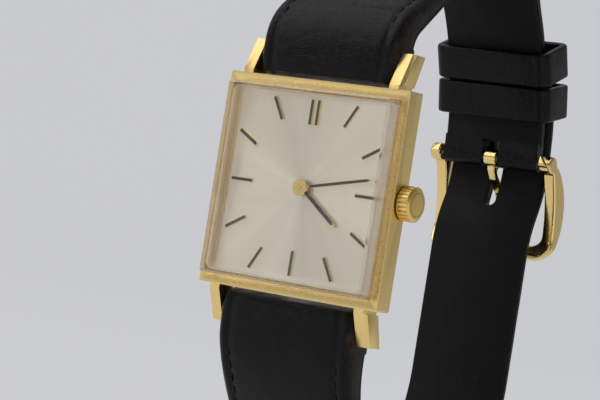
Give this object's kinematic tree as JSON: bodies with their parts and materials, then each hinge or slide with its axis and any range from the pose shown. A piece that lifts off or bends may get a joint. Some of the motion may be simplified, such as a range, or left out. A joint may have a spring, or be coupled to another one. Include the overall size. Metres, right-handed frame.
{
  "type": "wristwatch",
  "caption": "Square gold-plated wristwatch with a hand-wound movement, domed acrylic crystal and a black leather strap closed by a pin buckle.",
  "frame": {"origin": "centre of the case back's flat face, on the axis of the hands", "axes": "+X towards 3 o'clock and the crown, +Y towards the wrist, +Z towards 12 o'clock"},
  "size_m": [0.0268, 0.0519, 0.0771],
  "materials": {
    "case_gold": "satin gold plate",
    "crystal": "clear acrylic, polished",
    "dial_silver": "silvered, brushed from the centre",
    "black_lacquer": "gloss black on gilt edges",
    "steel": "polished",
    "gilt": "frosted gilt",
    "wheel_brass": "polished",
    "ruby": "polished synthetic stone",
    "blued_steel": "blued",
    "seal": "soft",
    "strap_leather": "smooth, slightly glossy",
    "lining_leather": "matt"
  },
  "bodies": {
    "case": {"case_body": "case_gold", "case_back": "case_gold", "back_gasket": "seal", "crystal": "crystal", "crown_tube": "case_gold", "dial": "dial_silver", "hour_markers": "black_lacquer", "movement_ring": "steel", "main_plate": "gilt", "barrel_bridge": "gilt", "train_bridge": "gilt", "balance_cock": "gilt", "pallet_bridge": "gilt", "bridge_screws": "steel", "jewels": "ruby", "click_spring": "steel", "spring_bar_12": "steel", "spring_bar_6": "steel"},
    "winding": {"winding_pinion": "steel"},
    "crown_and_stem": {"crown": "case_gold", "winding_stem": "steel"},
    "clutch": {"sliding_pinion": "steel"},
    "lever": {"setting_lever": "steel"},
    "yoke_arm": {"yoke": "steel"},
    "crown_wheel_set": {"crown_wheel": "steel"},
    "ratchet_set": {"ratchet_wheel": "steel", "barrel_arbor": "steel"},
    "click_set": {"click": "steel"},
    "barrel_set": {"barrel": "wheel_brass", "mainspring": "steel"},
    "centre_set": {"centre_wheel": "wheel_brass"},
    "third_set": {"third_wheel": "wheel_brass"},
    "fourth_set": {"fourth_wheel": "wheel_brass"},
    "escape_set": {"escape_wheel": "steel"},
    "pallet_set": {"pallet_fork": "steel"},
    "balance_set": {"balance_wheel": "wheel_brass", "hairspring": "blued_steel"},
    "minute_set": {"minute_hand": "black_lacquer", "cannon_pinion": "steel"},
    "minute_wheel_set": {"minute_wheel": "wheel_brass"},
    "hour_set": {"hour_hand": "black_lacquer", "hour_wheel": "wheel_brass"},
    "setting_set": {"setting_wheel": "steel"},
    "tip_12_left": {"bar_tip_12_left": "steel"},
    "tip_12_right": {"bar_tip_12_right": "steel"},
    "tip_6_left": {"bar_tip_6_left": "steel"},
    "tip_6_right": {"bar_tip_6_right": "steel"},
    "strap_long": {"strap_6": "strap_leather", "strap_6_lining": "lining_leather"},
    "strap_short": {"strap_12": "strap_leather", "strap_12_lining": "lining_leather", "fixed_keeper": "strap_leather"},
    "keeper": {"free_keeper": "strap_leather"},
    "buckle": {"buckle_frame": "case_gold", "buckle_bar": "steel"},
    "tongue": {"buckle_tongue": "case_gold"}
  },
  "joints": [
    {"name": "crown_turn", "type": "hinge", "parent": "case", "child": "winding", "pos_m": [0, -0.0023, 0], "axis": [1, 0, 0], "continuous": true},
    {"name": "crown_pull", "type": "slide", "parent": "winding", "child": "crown_and_stem", "axis": [1, 0, 0], "range_m": [0, 0.0006]},
    {"name": "clutch_shift", "type": "slide", "parent": "winding", "child": "clutch", "axis": [-1, 0, 0], "range_m": [0, 0.0005]},
    {"name": "lever_swing", "type": "hinge", "parent": "case", "child": "lever", "pos_m": [0.0077, 0, -0.0019], "axis": [0, -1, 0], "range_deg": [-19.9, 0]},
    {"name": "yoke_swing", "type": "hinge", "parent": "case", "child": "yoke_arm", "pos_m": [0.0066, 0, -0.003], "axis": [0, -1, 0], "range_deg": [0, 9.7]},
    {"name": "crown_wheel_spin", "type": "hinge", "parent": "case", "child": "crown_wheel_set", "pos_m": [0.0051, 0, 0], "axis": [0, -1, 0], "continuous": true},
    {"name": "ratchet_spin", "type": "hinge", "parent": "case", "child": "ratchet_set", "pos_m": [0.0015, 0, 0.0043], "axis": [0, -1, 0], "continuous": true},
    {"name": "click_lift", "type": "hinge", "parent": "case", "child": "click_set", "pos_m": [-0.00262, 0, 0.00238], "axis": [0, -1, 0], "range_deg": [0, 8]},
    {"name": "fourth_spin", "type": "hinge", "parent": "case", "child": "fourth_set", "pos_m": [-0.0032, 0, -0.00435], "axis": [0, -1, 0], "continuous": true},
    {"name": "escape_spin", "type": "hinge", "parent": "case", "child": "escape_set", "pos_m": [-0.00109, 0, -0.00643], "axis": [0, -1, 0], "continuous": true},
    {"name": "third_spin", "type": "hinge", "parent": "case", "child": "third_set", "pos_m": [-0.00342, 0, -0.00113], "axis": [0, -1, 0], "continuous": true},
    {"name": "centre_spin", "type": "hinge", "parent": "case", "child": "centre_set", "pos_m": [0, 0, 0], "axis": [0, -1, 0], "continuous": true},
    {"name": "barrel_spin", "type": "hinge", "parent": "case", "child": "barrel_set", "pos_m": [0.0015, 0, 0.0043], "axis": [0, -1, 0], "continuous": true},
    {"name": "pallet_swing", "type": "hinge", "parent": "case", "child": "pallet_set", "pos_m": [0.00081, 0, -0.00574], "axis": [0, -1, 0], "range_deg": [-5, 5]},
    {"name": "balance_swing", "type": "hinge", "parent": "case", "child": "balance_set", "pos_m": [0.0023, 0, -0.0052], "axis": [0, -1, 0], "range_deg": [-270, 270]},
    {"name": "minute_hand_spin", "type": "hinge", "parent": "case", "child": "minute_set", "pos_m": [0, 0, 0], "axis": [0, -1, 0], "continuous": true},
    {"name": "minute_wheel_spin", "type": "hinge", "parent": "case", "child": "minute_wheel_set", "pos_m": [0.00132, 0, -0.00229], "axis": [0, -1, 0], "continuous": true},
    {"name": "hour_hand_spin", "type": "hinge", "parent": "case", "child": "hour_set", "pos_m": [0, 0, 0], "axis": [0, -1, 0], "continuous": true},
    {"name": "setting_wheel_spin", "type": "hinge", "parent": "case", "child": "setting_set", "pos_m": [0.00407, 0, -0.0015], "axis": [0, -1, 0], "continuous": true},
    {"name": "tip_12_left_press", "type": "slide", "parent": "case", "child": "tip_12_left", "axis": [1, 0, 0], "range_m": [0, 0.001], "stiffness_N_per_m": 300, "springref_m": -0.0015},
    {"name": "tip_12_right_press", "type": "slide", "parent": "case", "child": "tip_12_right", "axis": [-1, 0, 0], "range_m": [0, 0.001], "stiffness_N_per_m": 300, "springref_m": -0.0015},
    {"name": "tip_6_left_press", "type": "slide", "parent": "case", "child": "tip_6_left", "axis": [1, 0, 0], "range_m": [0, 0.001], "stiffness_N_per_m": 300, "springref_m": -0.0015},
    {"name": "tip_6_right_press", "type": "slide", "parent": "case", "child": "tip_6_right", "axis": [-1, 0, 0], "range_m": [0, 0.001], "stiffness_N_per_m": 300, "springref_m": -0.0015},
    {"name": "strap_short_swing", "type": "hinge", "parent": "case", "child": "strap_short", "pos_m": [0, -0.0019, 0.0154], "axis": [1, 0, 0], "range_deg": [-0.4, 0.4]},
    {"name": "strap_long_swing", "type": "hinge", "parent": "case", "child": "strap_long", "pos_m": [0, -0.0019, -0.0154], "axis": [1, 0, 0], "range_deg": [-0.4, 0.4]},
    {"name": "keeper_slide", "type": "hinge", "parent": "strap_short", "child": "keeper", "pos_m": [0, 0.00487, 0.00726], "axis": [1, 0, 0], "range_deg": [0, 6]},
    {"name": "buckle_swing", "type": "hinge", "parent": "strap_short", "child": "buckle", "pos_m": [0, 0.03985, 0.00848], "axis": [1, 0, 0], "range_deg": [0, 2]},
    {"name": "tongue_swing", "type": "hinge", "parent": "buckle", "child": "tongue", "pos_m": [0, 0.03985, 0.00848], "axis": [1, 0, 0], "range_deg": [0, 2]}
  ],
  "couplings": [
    {"joint": "clutch_shift", "follows": "crown_pull", "ratio": 0.8333},
    {"joint": "lever_swing", "follows": "crown_pull", "rad_per_m": -573.3},
    {"joint": "yoke_swing", "follows": "crown_pull", "rad_per_m": 277.8},
    {"joint": "crown_wheel_spin", "follows": "crown_turn", "ratio": 0.5},
    {"joint": "ratchet_spin", "follows": "crown_turn", "ratio": -0.28571},
    {"joint": "escape_spin", "follows": "fourth_spin", "ratio": -10},
    {"joint": "third_spin", "follows": "fourth_spin", "ratio": -0.13333},
    {"joint": "centre_spin", "follows": "fourth_spin", "ratio": 0.016667},
    {"joint": "barrel_spin", "follows": "fourth_spin", "ratio": -0.0027778},
    {"joint": "minute_wheel_spin", "follows": "minute_hand_spin", "ratio": -0.33333},
    {"joint": "hour_hand_spin", "follows": "minute_hand_spin", "ratio": 0.083333},
    {"joint": "setting_wheel_spin", "follows": "minute_hand_spin", "ratio": 0.75},
    {"joint": "strap_long_swing", "follows": "strap_short_swing", "ratio": 1}
  ]
}
